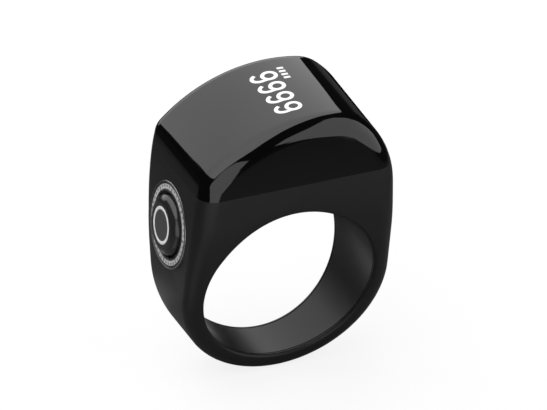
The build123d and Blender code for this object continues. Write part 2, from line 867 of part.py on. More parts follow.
with BuildPart() as motor_cap:
    with BuildSketch(motor_plane(can_rear)):
        Circle(can_radius - can_wall - running_clearance)
    extrude(amount=motor_cap_thickness)
    with BuildSketch(motor_plane(can_rear + motor_cap_thickness)):
        Circle(shaft_radius + running_clearance)
    extrude(amount=shaft_rear_gap - motor_cap_thickness, mode=Mode.SUBTRACT)
write(motor_cap, "motor_cap")

with BuildPart() as motor_shaft:
    with BuildSketch(motor_plane(can_rear + 2 * shaft_rear_gap)):
        Circle(shaft_radius)
    extrude(amount=can_length - 2 * shaft_rear_gap + shaft_reach)
write(motor_shaft, "motor_shaft")

coil_rear = core_front - magnet_core_length - loose_clearance - coil_rear_thickness
with BuildPart() as motor_coil:
    with BuildSketch(motor_plane(coil_rear)):
        Circle(coil_radius)
        Circle(shaft_radius + running_clearance / 2, mode=Mode.SUBTRACT)
    extrude(amount=coil_length)
    with BuildSketch(motor_plane(coil_rear + coil_rear_thickness)):
        Circle(coil_radius - coil_wall)
    extrude(amount=coil_length, mode=Mode.SUBTRACT)
write(motor_coil, "motor_coil")

with BuildPart() as motor_weight:
    with BuildSketch(motor_plane(can_front + weight_gap)):
        Circle(weight_radius)
        with Locations((0, weight_radius)):
            Rectangle(2 * weight_radius, 2 * weight_radius, mode=Mode.SUBTRACT)
        Circle(weight_hub_radius)
        Circle(shaft_radius + running_clearance / 2, mode=Mode.SUBTRACT)
    extrude(amount=weight_length)
write(motor_weight, "motor_weight")

lead_height = bay_floor + boot_wall + can_radius
with BuildPart() as motor_leads:
    for side in (-motor_lead_pitch / 2, motor_lead_pitch / 2):
        with BuildLine(Plane.YZ.offset(high_bay_x + side)) as lead_route:
            FilletPolyline(
                (can_rear, lead_height),
                (can_rear - motor_lead_reach, lead_height),
                (can_rear - motor_lead_reach, board_base),
                radius=flex_bend_radius,
            )
        with BuildSketch(Plane(origin=lead_route.line @ 0, z_dir=lead_route.line % 0)) as section:
            Circle(lead_radius)
        sweep(section.sketch, path=lead_route.line)
write(motor_leads, "motor_leads")
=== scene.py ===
"""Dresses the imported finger-ring tasbih counter with its visible pieces, finishes and studio stage.

Lengths are in metres, unless millimetres are named. The finger bore runs along Y, the display crown is up
and the button is at -X.
"""

import math

import bmesh
import bpy
from mathutils import Matrix, Vector


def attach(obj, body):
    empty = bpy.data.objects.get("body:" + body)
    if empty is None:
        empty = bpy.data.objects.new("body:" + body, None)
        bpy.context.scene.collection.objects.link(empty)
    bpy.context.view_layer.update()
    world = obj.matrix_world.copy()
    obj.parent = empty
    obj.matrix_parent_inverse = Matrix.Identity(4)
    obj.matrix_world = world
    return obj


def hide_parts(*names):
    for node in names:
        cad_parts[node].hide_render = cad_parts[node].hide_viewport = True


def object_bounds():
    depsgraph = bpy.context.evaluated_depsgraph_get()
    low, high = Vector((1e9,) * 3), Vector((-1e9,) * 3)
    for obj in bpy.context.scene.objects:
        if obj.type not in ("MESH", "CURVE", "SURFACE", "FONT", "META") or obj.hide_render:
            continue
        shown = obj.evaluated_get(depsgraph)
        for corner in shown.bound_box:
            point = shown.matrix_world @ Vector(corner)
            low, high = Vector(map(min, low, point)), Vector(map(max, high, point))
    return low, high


bl_info = {
    "name": "Finger-ring tasbih counter",
    "version": (1, 0, 0),
    "blender": (4, 5, 0),
    "location": "View3D > Sidebar > Tasbih",
    "description": "Models and finishes the visible pieces of a finger-ring tasbih counter",
    "category": "Object",
}

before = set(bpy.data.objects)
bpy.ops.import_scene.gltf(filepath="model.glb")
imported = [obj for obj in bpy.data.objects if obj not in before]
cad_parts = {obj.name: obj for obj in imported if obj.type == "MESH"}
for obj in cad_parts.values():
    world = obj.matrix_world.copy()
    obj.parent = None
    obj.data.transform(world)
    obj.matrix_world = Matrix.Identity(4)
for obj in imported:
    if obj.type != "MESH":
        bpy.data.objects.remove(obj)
cad_low, cad_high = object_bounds()

MM = 0.001

# Vertices nearer than this are one
WELD = 1e-7
# How far a cutter reaches past the surface that it opens
OVERCUT = 1.0 * MM
# Edges flatter than this are shaded smooth
SMOOTH_ANGLE = math.radians(32)


def length(name, description, millimetres):
    """A length that the user may change."""
    return bpy.props.FloatProperty(
        name=name,
        description=description,
        default=millimetres * MM,
        min=0.0,
        precision=6,
        subtype="DISTANCE",
        unit="LENGTH",
    )


def angle(name, description, degrees):
    """An angle that the user may change."""
    return bpy.props.FloatProperty(
        name=name,
        description=description,
        default=math.radians(degrees),
        subtype="ANGLE",
    )


def tint(name, description, default):
    """A colour that the user may change, in linear light."""
    return bpy.props.FloatVectorProperty(
        name=name,
        description=description,
        default=default,
        size=3,
        min=0.0,
        max=1.0,
        subtype="COLOR",
    )


class CaseSizes(bpy.types.PropertyGroup):
    """Sizes of the ring case and its display crown."""

    bore_radius: length("Bore radius", "Radius of the finger bore", 10.0)
    band_thickness: length("Band thickness", "Wall of the band below the finger", 2.1)
    low_flank_start: length("Low flank start", "Height where the button side leans in", 2.4)
    low_flank_radius: length("Low flank radius", "Curve of the button side", 60.0)
    high_flank_start: length("High flank start", "Height where the far side leans in", 11.2)
    high_flank_radius: length("High flank radius", "Curve of the far side", 11.5)
    arch_shift: length("Arch shift", "Middle of the crown's arch, towards the far side", 2.4)
    arch_top: length("Arch top", "Height of the crown above the bore's middle", 21.235)
    arch_radius: length("Arch radius", "Curve of the display crown", 18.2)
    low_shoulder: length("Low shoulder", "Corner radius above the button", 2.2)
    high_shoulder: length("High shoulder", "Corner radius on the far side", 4.5)
    parting_height: length("Parting height", "Height of the joint below the display crown", 13.6)
    crown_half_depth: length("Crown half depth", "Half of the crown's size along the finger", 8.0)
    crown_foot: length("Crown foot", "Height where the band starts to narrow", 7.5)
    band_half_depth: length("Band half depth", "Half of the band's width at its bottom", 2.95)
    foot_blend: length("Foot blend", "Radius between the crown's face and the band's taper", 20.0)
    crown_edge: length("Crown edge", "Front edge radius round the crown", 2.1)
    back_edge: length("Back edge", "Back edge radius below the crown", 2.6)
    back_top_edge: length("Back top edge", "Back edge radius along the crown's top", 1.6)
    band_edge: length("Band edge", "Edge radius at the bottom of the band", 1.3)
    bore_lip: length("Bore lip", "Rounding of the bore's rims", 0.45)
    liner_groove: length("Liner groove", "Width of the fine groove inside each rim", 0.13)


class ButtonSizes(bpy.types.PropertyGroup):
    """Sizes of the side button, along its own axis."""

    height: length("Height", "Height of the button's axis at the wall", 7.1)
    lean: angle("Lean", "How far the button's face turns up", 7.4)
    bezel_outside: length("Bezel outside", "Outer radius of the fixed bezel", 4.92)
    bezel_inside: length("Bezel inside", "Inner radius of the fixed bezel", 3.75)
    bezel_stand: length("Bezel stand", "How far the bezel stands out of the wall", 0.1)
    bezel_thickness: length("Bezel thickness", "Thickness of the bezel", 0.55)
    cap_base: length("Cap base", "Radius of the cap at the wall", 3.42)
    cap_face: length("Cap face", "Radius of the cap's flat face", 2.35)
    cap_height: length("Cap height", "Height of the cap's face above the wall", 0.88)
    flange_radius: length("Flange radius", "Radius of the flange that keeps the cap in", 4.15)
    inlay_outside: length("Inlay outside", "Outer radius of the white ring", 2.14)
    inlay_inside: length("Inlay inside", "Inner radius of the white ring", 1.76)
    inlay_depth: length("Inlay depth", "Depth of the white ring's groove", 0.3)
    mark_count: bpy.props.IntProperty(
        name="Marks", description="Number of printed marks round the bezel", default=40, min=4
    )


class CountSizes(bpy.types.PropertyGroup):
    """Sizes of the lit count and battery bars on the crown."""

    numeral_height: length("Numeral height", "Height of a numeral", 3.22)
    numeral_width: length("Numeral width", "Width of a numeral", 1.9)
    stroke: length("Stroke", "Width of a numeral's stroke", 0.45)
    pitch: length("Pitch", "Distance from numeral to numeral", 2.352)
    first_middle: length("First middle", "Middle of the first numeral along the bore", 3.435)
    row_middle: length("Row middle", "Middle of the row across the crown", 0.781)
    bar_length: length("Bar length", "Length of a battery bar", 0.76)
    bar_width: length("Bar width", "Width of a battery bar", 0.38)
    bar_pitch: length("Bar pitch", "Distance from bar to bar", 0.7)
    bar_first: length("First bar", "Middle of the first bar along the bore", 4.48)
    bar_middle: length("Bar middle", "Middle of the bars across the crown", 3.12)


class FinishColours(bpy.types.PropertyGroup):
    """Colours of the visible finishes."""

    case_black: tint("Case black", "Satin plastic of the ring case", (0.0135, 0.0135, 0.014))
    crown_black: tint("Crown black", "Smoked cover over the display", (0.0019, 0.0019, 0.0022))
    cap_black: tint("Cap black", "Gloss plastic of the button cap", (0.02, 0.02, 0.0205))
    bezel_black: tint("Bezel black", "Dark coating of the bezel", (0.03, 0.03, 0.031))
    band_grey: tint("Band grey", "Pale band of the bezel", (0.72, 0.72, 0.72))
    inlay_white: tint("Inlay white", "Ring in the button's face", (0.88, 0.88, 0.87))
    count_white: tint("Count white", "Lit numerals and bars", (0.98, 0.98, 0.98))
    floor_white: tint("Floor white", "Studio floor", (0.9, 0.9, 0.9))


class StageSizes(bpy.types.PropertyGroup):
    """The camera's place and the lamps."""

    azimuth: angle("Azimuth", "Camera's turn about the object", -22.2)
    elevation: angle("Elevation", "Camera's height above the horizon", 30.3)
    aim: bpy.props.FloatVectorProperty(
        name="Aim",
        description="Point at the middle of the picture",
        default=(1.608 * MM, 2.618 * MM, 5.189 * MM),
        subtype="TRANSLATION",
        precision=6,
    )
    picture_width: length("Picture width", "Width seen at the object", 59.9)
    camera_distance: length("Camera distance", "From the aim to the camera", 900.0)
    scrim_height: length("Scrim height", "Height of the overhead scrim above the ring", 1600.0)
    scrim_distance: length("Scrim distance", "From the ring to the scrims in front", 2500.0)


# Shader building


class Tone:
    """A shader socket that can stand in a sum, so that 1 - mask adds its own Math nodes."""

    def __init__(self, finish, socket):
        self.finish = finish
        self.socket = socket

    def __add__(self, other):
        return self.finish.math("ADD", self, other)

    __radd__ = __add__

    def __rsub__(self, other):
        return self.finish.math("SUBTRACT", other, self)

    def __mul__(self, other):
        return self.finish.math("MULTIPLY", self, other)

    def __truediv__(self, other):
        return self.finish.math("DIVIDE", self, other)

    def __gt__(self, other):
        return self.finish.math("GREATER_THAN", self, other)

    def __lt__(self, other):
        return self.finish.math("LESS_THAN", self, other)


class Finish:
    """A material under construction."""

    def __init__(self, name, material=None):
        self.material = material or bpy.data.materials.new(name)
        self.material.use_nodes = True
        self.tree = self.material.node_tree
        self.tree.nodes.clear()

    def node(self, kind, sockets=None, out=0, **settings):
        """Adds a node, sets its settings first and its sockets after, and returns one of its outputs."""
        made = self.tree.nodes.new("ShaderNode" + kind)
        for key, value in settings.items():
            setattr(made, key, value)
        for key, value in (sockets or {}).items():
            if isinstance(value, Tone):
                self.tree.links.new(value.socket, made.inputs[key])
            else:
                made.inputs[key].default_value = value
        if not made.outputs:
            return None
        return Tone(self, made.outputs[out])

    def math(self, operation, *values):
        """A sum of sockets or numbers."""
        return self.node("Math", dict(enumerate(values)), operation=operation)

    def mix(self, factor, first, second):
        """Mixes two colours."""
        return self.node("Mix", {0: factor, 6: first, 7: second}, 2, data_type="RGBA")

    def mottle(self, factor, colour, darker, lighter):
        """Mixes a darker and a lighter share of one colour."""
        return self.mix(factor, shaded(colour, darker), shaded(colour, lighter))

    def place(self):
        """Object coordinates."""
        return self.node("TexCoord", out="Object")

    def mapped(self, **sockets):
        """Object coordinates as seen from another place, turn or scale."""
        return self.node("Mapping", {"Vector": self.place(), **sockets}, vector_type="TEXTURE")

    def noise(self, size, detail=2.0, roughness=0.5, where=None):
        """Noise with features of about this size."""
        grain = {"Scale": 1.0 / size, "Detail": detail, "Roughness": roughness}
        return self.node("TexNoise", {"Vector": where or self.place(), **grain})

    def ramp(self, factor, stops):
        """A grey level from a factor, by stops that are each a place and a level."""
        tone = self.node("ValToRGB", {"Fac": factor})
        elements = tone.socket.node.color_ramp.elements
        while len(elements) < len(stops):
            elements.new(1.0)
        for element, (place, level) in zip(elements, stops):
            element.position = place
            element.color = grey(level)
        return tone

    def bump(self, height, distance, strength):
        """A normal from a height."""
        return self.node("Bump", {"Height": height, "Distance": distance, "Strength": strength})

    def surface(self, **sockets):
        """Closes the material with a Principled shader."""
        spaced = {key.replace("_", " "): value for key, value in sockets.items()}
        return self.close(self.node("BsdfPrincipled", spaced))

    def close(self, shader):
        """Links the shader to the material's output."""
        self.node("OutputMaterial", {"Surface": shader})
        return self.material


def grey(level):
    """A neutral colour."""
    return (level, level, level, 1.0)


def shaded(colour, share):
    """A colour times a share, with alpha."""
    return (colour[0] * share, colour[1] * share, colour[2] * share, 1.0)


# Finishes of the visible pieces


def satin_case(colours):
    """Moulded black plastic with a fine spark-eroded grain, a little uneven in its sheen."""
    finish = Finish("satin_case")
    cloud = finish.noise(6 * MM, 3.0)
    grain = finish.noise(0.11 * MM, 3.0, 0.6)
    return finish.surface(
        Base_Color=finish.mottle(cloud, colours.case_black, 0.86, 1.14),
        Roughness=0.31 + cloud * 0.05 + grain * 0.04,
        Normal=finish.bump(grain, 0.006 * MM, 0.5),
        Specular_IOR_Level=0.23,
    )


def smoked_crown(colours):
    """Polished smoked cover, with hardly visible wiping marks."""
    finish = Finish("smoked_crown")
    wipes = finish.noise(1.6 * MM, 4.0, 0.6, finish.mapped(Scale=(1.0, 6.0, 1.0)))
    cloud = finish.noise(5 * MM)
    return finish.surface(
        Base_Color=finish.mottle(cloud, colours.crown_black, 0.8, 1.3),
        Roughness=0.035 + finish.ramp(wipes, [(0.45, 0.0), (0.8, 1.0)]) * 0.035,
        IOR=1.5,
    )


def gloss_cap(colours, button, place):
    """Polished black plastic of the button cap, with a painted reflection that makes its face paler inside
    the ring, and lightly scuffed by the thumb.
    """
    finish = Finish("gloss_cap")
    ends = {0: finish.place(), 1: place.translation}
    apart = finish.node("VectorMath", ends, "Value", operation="DISTANCE")
    # Painted reflection: the face inside the white ring is given a paler colour
    inside = apart < math.hypot(button.inlay_inside, button.cap_height)
    scuff = finish.noise(0.35 * MM, 4.0, 0.65)
    colour = finish.mottle(finish.noise(2.5 * MM), colours.cap_black, 0.85, 1.2)
    return finish.surface(
        Base_Color=finish.mix(inside, colour, shaded(colours.cap_black, 3.2)),
        Roughness=0.13 + finish.ramp(scuff, [(0.4, 0.0), (0.75, 1.0)]) * 0.1,
        Normal=finish.bump(scuff, 0.002 * MM, 0.4),
    )


def printed_bezel(colours, button, place):
    """Dark coated bezel with a pale band, divided by fine marks, and a bright outer rim."""
    finish = Finish("printed_bezel")
    outside = button.bezel_outside
    band_inside = outside - 0.94 * MM
    band_outside = outside - 0.4 * MM
    mark_length = 0.72
    fifth_longer = 0.22
    mark_outside = outside - 0.46 * MM
    mark_share = 0.4
    rim_inside = outside - 0.1 * MM
    local = finish.mapped(Location=place.translation, Rotation=place.to_euler())
    across = finish.node("SeparateXYZ", {0: local}, "X")
    up = finish.node("SeparateXYZ", {0: local}, "Y")
    reach = finish.math("SQRT", across * across + up * up)
    step = finish.math("ARCTAN2", up, across) * (button.mark_count / (2 * math.pi)) + button.mark_count
    fifth = finish.math("FRACT", step / 5.0) < 0.2
    mark_inside = outside - (mark_length + fifth * fifth_longer) * MM
    mark = (finish.math("FRACT", step) < mark_share) * (reach > mark_inside) * (reach < mark_outside)
    band = (reach > band_inside) * (reach < band_outside)
    rim = reach > rim_inside
    wear = finish.noise(0.12 * MM, 3.0)
    pale = band * (1 - mark * 0.75) * finish.ramp(wear, [(0.25, 0.55), (0.5, 1.0)])
    coat = finish.mottle(wear, colours.bezel_black, 0.8, 1.25)
    printed = finish.mix(pale, coat, shaded(colours.band_grey, 1.0))
    return finish.surface(
        Base_Color=finish.mix(rim, printed, shaded(colours.band_grey, 0.5)),
        Roughness=0.22 + wear * 0.1 + pale * 0.15,
        Metallic=rim * 0.9,
        Normal=finish.bump(pale, 0.004 * MM, 0.5),
    )


def white_inlay(colours):
    """Milky white ring, brightened by a faint painted glow of its own."""
    finish = Finish("white_inlay")
    cloud = finish.noise(0.5 * MM, 3.0)
    colour = finish.mottle(cloud, colours.inlay_white, 0.92, 1.04)
    return finish.surface(
        Base_Color=colour,
        Roughness=0.32 + cloud * 0.1,
        # Painted glow: the ring gives off a faint light in its own colour
        Emission_Color=colour,
        Emission_Strength=0.12,
    )


def lit_count(colours):
    """White light of the display, with a faint grid of its picture cells."""
    finish = Finish("lit_count")
    cells = finish.node(
        "TexVoronoi",
        {"Vector": finish.place(), "Scale": 1.0 / (0.06 * MM), "Randomness": 0.0},
        distance="CHEBYCHEV",
    )
    level = finish.ramp(cells, [(0.3, 1.0), (0.5, 0.9)])
    return finish.surface(
        Base_Color=grey(0.02),
        Roughness=0.1 + level * 0.05,
        Emission_Color=finish.mottle(level, colours.count_white, 0.85, 1.0),
        Emission_Strength=1.0,
    )


# Finishes of the pieces inside


def moulded(name, colour, rough):
    """Moulded plastic or rubber with a fine grain."""
    finish = Finish(name)
    grain = finish.noise(0.08 * MM)
    return finish.surface(
        Base_Color=finish.mottle(finish.noise(1.5 * MM, 3.0), colour, 0.85, 1.15),
        Roughness=rough - 0.05 + grain * 0.1,
        Normal=finish.bump(grain, 0.004 * MM, 0.5),
    )


def plated(name, colour, rough):
    """Plated or rolled metal with fine draw lines."""
    finish = Finish(name)
    lines = finish.noise(0.09 * MM, 3.0, 0.6, finish.mapped(Scale=(1.0, 14.0, 1.0)))
    return finish.surface(
        Base_Color=finish.mottle(lines, colour, 0.86, 1.05),
        Metallic=1.0,
        Roughness=rough + lines * 0.14,
        Normal=finish.bump(lines, 0.002 * MM, 0.4),
    )


def clear_glass(name, colour):
    """Thin display glass, tinted by what lies under it."""
    finish = Finish(name)
    dust = finish.noise(0.7 * MM, 4.0)
    return finish.surface(
        Base_Color=finish.mottle(dust, colour, 0.9, 1.1),
        Roughness=0.04 + dust * 0.05,
        IOR=1.52,
    )


def circuit_board(name, colour):
    """Solder mask over a fine pattern of copper tracks."""
    finish = Finish(name)
    pattern = {"Scale": 1.0 / MM, "Mortar Size": 0.06, "Brick Width": 1.1, "Row Height": 0.42}
    tracks = finish.node("TexBrick", {"Vector": finish.place(), **pattern}, "Fac", offset=0.37)
    cloud = finish.noise(0.8 * MM, 3.0)
    lit = finish.mottle(tracks, colour, 1.0, 1.9)
    return finish.surface(
        Base_Color=finish.mix(cloud * 0.3, lit, shaded(colour, 0.6)),
        Roughness=0.32 + cloud * 0.12,
        Normal=finish.bump(tracks, 0.01 * MM, 0.5),
    )


def flexible_print(name, colour):
    """Amber film with the shadow of its conductors."""
    finish = Finish(name)
    lines = finish.node(
        "TexWave",
        {"Vector": finish.place(), "Scale": 0.8 / MM, "Distortion": 0.4},
        wave_type="BANDS",
        bands_direction="Y",
    )
    return finish.surface(
        Base_Color=finish.mottle(lines, colour, 0.75, 1.1),
        Roughness=0.28 + lines * 0.12,
        Normal=finish.bump(lines, 0.006 * MM, 0.4),
    )


def foil_pouch(name, colour):
    """Crinkled foil pouch of the battery."""
    finish = Finish(name)
    crinkle = finish.noise(0.5 * MM, 4.0, 0.6)
    return finish.surface(
        Base_Color=finish.mottle(crinkle, colour, 0.8, 1.1),
        Metallic=0.85,
        Roughness=0.28 + crinkle * 0.2,
        Normal=finish.bump(crinkle, 0.03 * MM, 0.5),
    )


# Each piece's colour and, where its finish takes one, its roughness
INSIDE = {
    moulded: {
        "lens_gasket": ((0.01, 0.01, 0.011), 0.6),
        "button_seal": ((0.02, 0.02, 0.021), 0.55),
        "switch_base": ((0.025, 0.025, 0.028), 0.45),
        "switch_plunger": ((0.5, 0.06, 0.04), 0.4),
        "display_carrier": ((0.03, 0.03, 0.033), 0.5),
        "display_foam": ((0.06, 0.06, 0.06), 0.85),
        "display_bond": ((0.08, 0.08, 0.085), 0.3),
        "display_driver": ((0.03, 0.03, 0.036), 0.25),
        "display_connector": ((0.55, 0.5, 0.42), 0.45),
        "processor_chip": ((0.018, 0.018, 0.02), 0.5),
        "charger_chip": ((0.018, 0.018, 0.02), 0.5),
        "antenna_chip": ((0.6, 0.58, 0.52), 0.4),
        "board_capacitors": ((0.36, 0.24, 0.14), 0.45),
        "board_resistors": ((0.05, 0.05, 0.06), 0.4),
        "battery_tape": ((0.4, 0.3, 0.05), 0.4),
        "battery_leads": ((0.45, 0.03, 0.03), 0.45),
        "motor_boot": ((0.05, 0.05, 0.055), 0.7),
        "motor_cap": ((0.65, 0.64, 0.6), 0.4),
        "motor_leads": ((0.06, 0.1, 0.4), 0.45),
    },
    plated: {
        "switch_dome": ((0.75, 0.74, 0.7), 0.22),
        "carrier_screws": ((0.5, 0.5, 0.5), 0.28),
        "crystal": ((0.7, 0.69, 0.66), 0.25),
        "battery_tabs": ((0.72, 0.71, 0.68), 0.28),
        "charge_contacts": ((0.83, 0.6, 0.25), 0.18),
        "charge_magnets": ((0.6, 0.6, 0.61), 0.22),
        "motor_can": ((0.62, 0.62, 0.62), 0.24),
        "motor_bushing": ((0.7, 0.52, 0.25), 0.35),
        "motor_magnet": ((0.2, 0.2, 0.21), 0.45),
        "motor_shaft": ((0.68, 0.68, 0.69), 0.18),
        "motor_coil": ((0.72, 0.36, 0.18), 0.3),
        "motor_weight": ((0.42, 0.42, 0.43), 0.35),
    },
    clear_glass: {
        "display_rear_glass": ((0.05, 0.05, 0.055),),
        "display_front_glass": ((0.02, 0.02, 0.024),),
        "display_polariser": ((0.012, 0.012, 0.014),),
    },
    circuit_board: {
        "main_board": ((0.015, 0.09, 0.04),),
        "battery_board": ((0.012, 0.07, 0.03),),
    },
    flexible_print: {
        "switch_flex": ((0.5, 0.22, 0.05),),
        "display_flex": ((0.5, 0.22, 0.05),),
        "charge_flex": ((0.5, 0.22, 0.05),),
    },
    foil_pouch: {
        "battery_cell": ((0.6, 0.6, 0.6),),
    },
}


# Modelling tools


def leave_all():
    """Leaves edit mode and deselects everything."""
    if bpy.context.object and bpy.context.object.mode != "OBJECT":
        bpy.ops.object.mode_set(mode="OBJECT")
    bpy.ops.object.select_all(action="DESELECT")


def take(piece):
    """Makes this piece the only one selected, and active."""
    leave_all()
    piece.select_set(True)
    bpy.context.view_layer.objects.active = piece


def edit_all(piece):
    """Opens the piece in edit mode with all of its mesh selected."""
    take(piece)
    bpy.ops.object.mode_set(mode="EDIT")
    bpy.ops.mesh.select_all(action="SELECT")


def close_up():
    """Merges doubled vertices of the mesh in edit mode, turns its faces outwards and leaves edit mode."""
    bpy.ops.mesh.select_all(action="SELECT")
    bpy.ops.mesh.remove_doubles(threshold=WELD)
    bpy.ops.mesh.normals_make_consistent(inside=False)
    bpy.ops.object.mode_set(mode="OBJECT")


def settle(piece):
    """Applies the piece's place to its mesh."""
    take(piece)
    bpy.ops.object.transform_apply(location=True, rotation=True, scale=True)


def named(name):
    """Names the active object and its data."""
    piece = bpy.context.object
    piece.name = name
    piece.data.name = name
    return piece


def copy_of(piece, name):
    """A copy with its own mesh."""
    take(piece)
    bpy.ops.object.duplicate(linked=False)
    return named(name)


def loop_of(name, points):
    """A closed loop of edges through the points, from a circle with as many vertices."""
    leave_all()
    bpy.ops.mesh.primitive_circle_add(vertices=len(points), radius=10 * MM)
    piece = named(name)
    for vertex, point in zip(piece.data.vertices, points):
        vertex.co = point
    return piece


def filled(name, points):
    """A flat face with these corners, left in edit mode."""
    piece = loop_of(name, points)
    edit_all(piece)
    bpy.ops.mesh.edge_face_add()
    return piece


def bar_of(name, outline, reach):
    """A bar along Y with this outline of x and z, reaching as far to the front as to the back."""
    piece = filled(name, [(x, -reach, z) for x, z in outline])
    bpy.ops.mesh.extrude_region_move(TRANSFORM_OT_translate={"value": (0, 2 * reach, 0)})
    close_up()
    return piece


def pull_loops(piece, loops):
    """Extrudes the piece's loop once for each further loop of points, and moves the new edges there."""
    edit_all(piece)
    mesh = bmesh.from_edit_mesh(piece.data)
    station = mesh.verts.layers.int.new("station")
    for number, vertex in enumerate(mesh.verts):
        vertex[station] = number
    bmesh.update_edit_mesh(piece.data)
    for points in loops:
        bpy.ops.mesh.extrude_edges_indiv()
        mesh = bmesh.from_edit_mesh(piece.data)
        station = mesh.verts.layers.int["station"]
        for vertex in mesh.verts:
            if vertex.select:
                vertex.co = points[vertex[station]]
        bmesh.update_edit_mesh(piece.data)
    mesh = bmesh.from_edit_mesh(piece.data)
    mesh.verts.layers.int.remove(mesh.verts.layers.int["station"])
    bmesh.update_edit_mesh(piece.data)
    close_up()


def turned(name, profile, place, steps=144):
    """Spins a profile of radius and height about the local Z axis and puts the mesh in its place."""
    piece = loop_of(name, [(radius, 0.0, height) for radius, height in profile])
    edit_all(piece)
    mesh = bmesh.from_edit_mesh(piece.data)
    for edge in mesh.edges:
        on_axis = max(abs(vertex.co.x) for vertex in edge.verts) < WELD
        edge.select_set(on_axis)
    bmesh.update_edit_mesh(piece.data)
    bpy.ops.mesh.delete(type="EDGE")
    bpy.ops.mesh.select_all(action="SELECT")
    bpy.ops.mesh.spin(steps=steps, angle=2 * math.pi, center=(0, 0, 0), axis=(0, 0, 1))
    close_up()
    piece.matrix_world = place
    settle(piece)
    return piece


def arc_points(middle, height, reach, start, stop, rise=None, steps=5):
    """Points of an arc in a flat outline, its angles in degrees, stretched to a rise of its own."""
    points = []
    for number in range(steps + 1):
        turn = math.radians(start + (stop - start) * number / steps)
        points.append((middle + reach * math.cos(turn), height + (rise or reach) * math.sin(turn)))
    return points


def cut_away(piece, cutter):
    """Cuts the cutter's shape out of the piece and removes the cutter."""
    take(piece)
    cut = piece.modifiers.new("cut", "BOOLEAN")
    cut.operation = "DIFFERENCE"
    cut.solver = "EXACT"
    cut.object = cutter
    bpy.ops.object.modifier_apply(modifier=cut.name)
    bpy.data.objects.remove(cutter)


def soften(piece, width):
    """Rounds the piece's sharp edges."""
    take(piece)
    round_off = piece.modifiers.new("round_off", "BEVEL")
    round_off.width = width
    round_off.segments = 2
    round_off.limit_method = "ANGLE"
    round_off.angle_limit = math.radians(35)
    bpy.ops.object.modifier_apply(modifier=round_off.name)


def split_off(piece, height, above):
    """Keeps the part above or below a height and closes the cut."""
    edit_all(piece)
    bpy.ops.mesh.bisect(
        plane_co=(0, 0, height),
        plane_no=(0, 0, 1),
        use_fill=True,
        clear_inner=above,
        clear_outer=not above,
        threshold=WELD,
    )
    close_up()


def merge_flats(piece):
    """Merges the slivers that the cuts leave on flat faces."""
    edit_all(piece)
    bpy.ops.mesh.remove_doubles(threshold=0.012 * MM)
    bpy.ops.mesh.dissolve_limited(angle_limit=math.radians(0.05))
    bpy.ops.mesh.quads_convert_to_tris(ngon_method="BEAUTY")
    bpy.ops.mesh.dissolve_degenerate(threshold=0.001 * MM)
    close_up()


def finish_piece(piece, material, body, slot, *nodes):
    """Shades the piece, gives it its material and places it in the frame."""
    take(piece)
    bpy.ops.object.shade_smooth_by_angle(angle=SMOOTH_ANGLE)
    piece.data.materials.clear()
    piece.data.materials.append(material)
    if nodes:
        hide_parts(*nodes)
    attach(piece, body)


# Shape of the case


def touching(first, second, radius, side):
    """The circle of this radius that touches two others from inside, on the side named."""
    first_reach = first[1] - radius
    second_reach = second[1] - radius
    apart = second[0] - first[0]
    along = (first_reach**2 - second_reach**2 + apart.length_squared) / (2 * apart.length)
    off = math.sqrt(first_reach**2 - along**2)
    ahead = apart.normalized()
    across = Vector((-ahead.y, ahead.x))
    if across.dot(side) < 0:
        across = -across
    return first[0] + ahead * along + across * off, radius


def bearing_of(circle, other):
    """The angle of the other circle's centre seen from the first one's."""
    way = other[0] - circle[0]
    return math.atan2(way.y, way.x)


def arc_span(circle, start, stop):
    """A span on a circle: its length, and what gives its point and normal at a share of it."""
    centre, radius = circle

    def at(share):
        turn = start + (stop - start) * share
        outward = Vector((math.cos(turn), math.sin(turn)))
        return centre + outward * radius, outward

    return radius * (stop - start), at


def line_span(start, stop, outward):
    """A straight span, given in the same way."""

    def at(share):
        return start.lerp(stop, share), outward

    return (stop - start).length, at


class Outline:
    """The case's outline seen along the bore, made of two straight walls and arcs that meet smoothly.

    A circle is a centre and a radius.
    """

    def __init__(self, case):
        wall = case.bore_radius + case.band_thickness
        band = (Vector((0, 0)), wall)
        low = (Vector((case.low_flank_radius - wall, case.low_flank_start)), case.low_flank_radius)
        high = (Vector((wall - case.high_flank_radius, case.high_flank_start)), case.high_flank_radius)
        arch = (Vector((case.arch_shift, case.arch_top - case.arch_radius)), case.arch_radius)
        self.arch = arch
        self.low = low
        high_corner = touching(high, arch, case.high_shoulder, Vector((1, 0)))
        low_corner = touching(arch, low, case.low_shoulder, Vector((0, 1)))
        to_high = bearing_of(high, high_corner)
        over_high = bearing_of(arch, high_corner)
        over_low = bearing_of(arch, low_corner)
        to_low = bearing_of(low, low_corner)
        self.spans = [
            arc_span(band, math.pi, 2 * math.pi),
            line_span(Vector((wall, 0)), Vector((wall, case.high_flank_start)), Vector((1, 0))),
            arc_span(high, 0.0, to_high),
            arc_span(high_corner, to_high, over_high),
            arc_span(arch, over_high, over_low),
            arc_span(low_corner, over_low, to_low),
            arc_span(low, to_low, math.pi),
            line_span(Vector((-wall, case.low_flank_start)), Vector((-wall, 0)), Vector((-1, 0))),
        ]

    def stations(self, count):
        """Evenly spaced points and outward normals round the outline."""
        whole = sum(span for span, at in self.spans)
        found = []
        for number in range(count):
            distance = whole * number / count
            for span, at in self.spans:
                if distance < span:
                    found.append(at(distance / span))
                    break
                distance -= span
        return found

    def roof(self, x):
        """Height of the crown's arch."""
        centre, radius = self.arch
        return centre.y + math.sqrt(radius**2 - (x - centre.x) ** 2)


